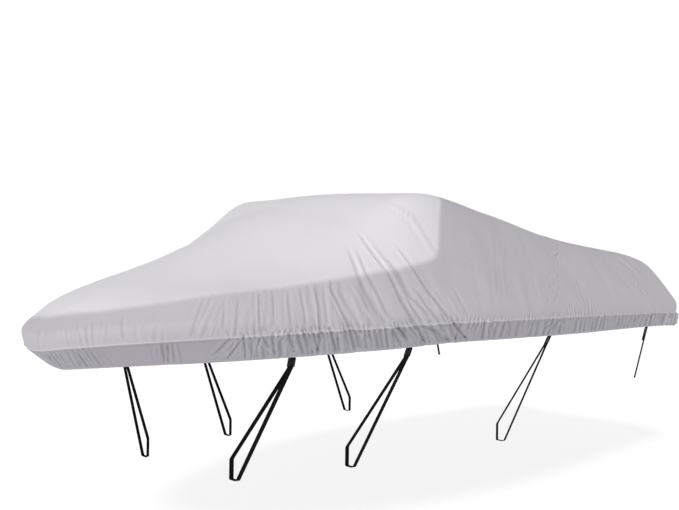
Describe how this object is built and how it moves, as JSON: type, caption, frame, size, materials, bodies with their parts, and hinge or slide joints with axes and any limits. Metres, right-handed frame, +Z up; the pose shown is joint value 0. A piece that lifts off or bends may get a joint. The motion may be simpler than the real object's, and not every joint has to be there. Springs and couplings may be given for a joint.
{
  "type": "boat cover",
  "caption": "Fitted cloth cover for a small boat: it runs from a pointed bow over a raised crown to a square stern, with a turned-under skirt and webbing straps.",
  "frame": {"origin": "the point under the top of the cloth, on the centreline, where what the cover fits over holds it up", "axes": "+X runs aft, +Y to starboard, +Z up"},
  "size_m": [4.8765, 2.2826, 1.5827],
  "materials": {
    "cover_cloth": "pale grey coated polyester, plain weave, matt",
    "skirt_cloth": "the same cloth in the skirt, a shade darker where it turns under, matt",
    "black_webbing": "black ribbed polypropylene webbing, matt",
    "black_plastic": "black moulded plastic, satin"
  },
  "bodies": {
    "root": {"canopy_bow": "cover_cloth", "canopy_mid": "cover_cloth", "canopy_stern": "cover_cloth", "skirt_bow": "skirt_cloth", "skirt_mid_port": "skirt_cloth", "skirt_mid_starboard": "skirt_cloth", "skirt_stern": "skirt_cloth", "tab_port_1": "black_webbing", "tab_port_2": "black_webbing", "tab_port_3": "black_webbing", "tab_port_4": "black_webbing", "tab_starboard_1": "black_webbing", "tab_starboard_2": "black_webbing", "tab_starboard_3": "black_webbing", "tab_starboard_4": "black_webbing", "strap_port_1": "black_webbing", "strap_port_2": "black_webbing", "strap_port_3": "black_webbing", "strap_port_4": "black_webbing", "strap_starboard_1": "black_webbing", "strap_starboard_2": "black_webbing", "strap_starboard_3": "black_webbing", "strap_starboard_4": "black_webbing", "buckle_port_1": "black_plastic", "buckle_port_2": "black_plastic", "buckle_port_3": "black_plastic", "buckle_port_4": "black_plastic", "buckle_starboard_1": "black_plastic", "buckle_starboard_2": "black_plastic", "buckle_starboard_3": "black_plastic", "buckle_starboard_4": "black_plastic"}
  },
  "joints": []
}
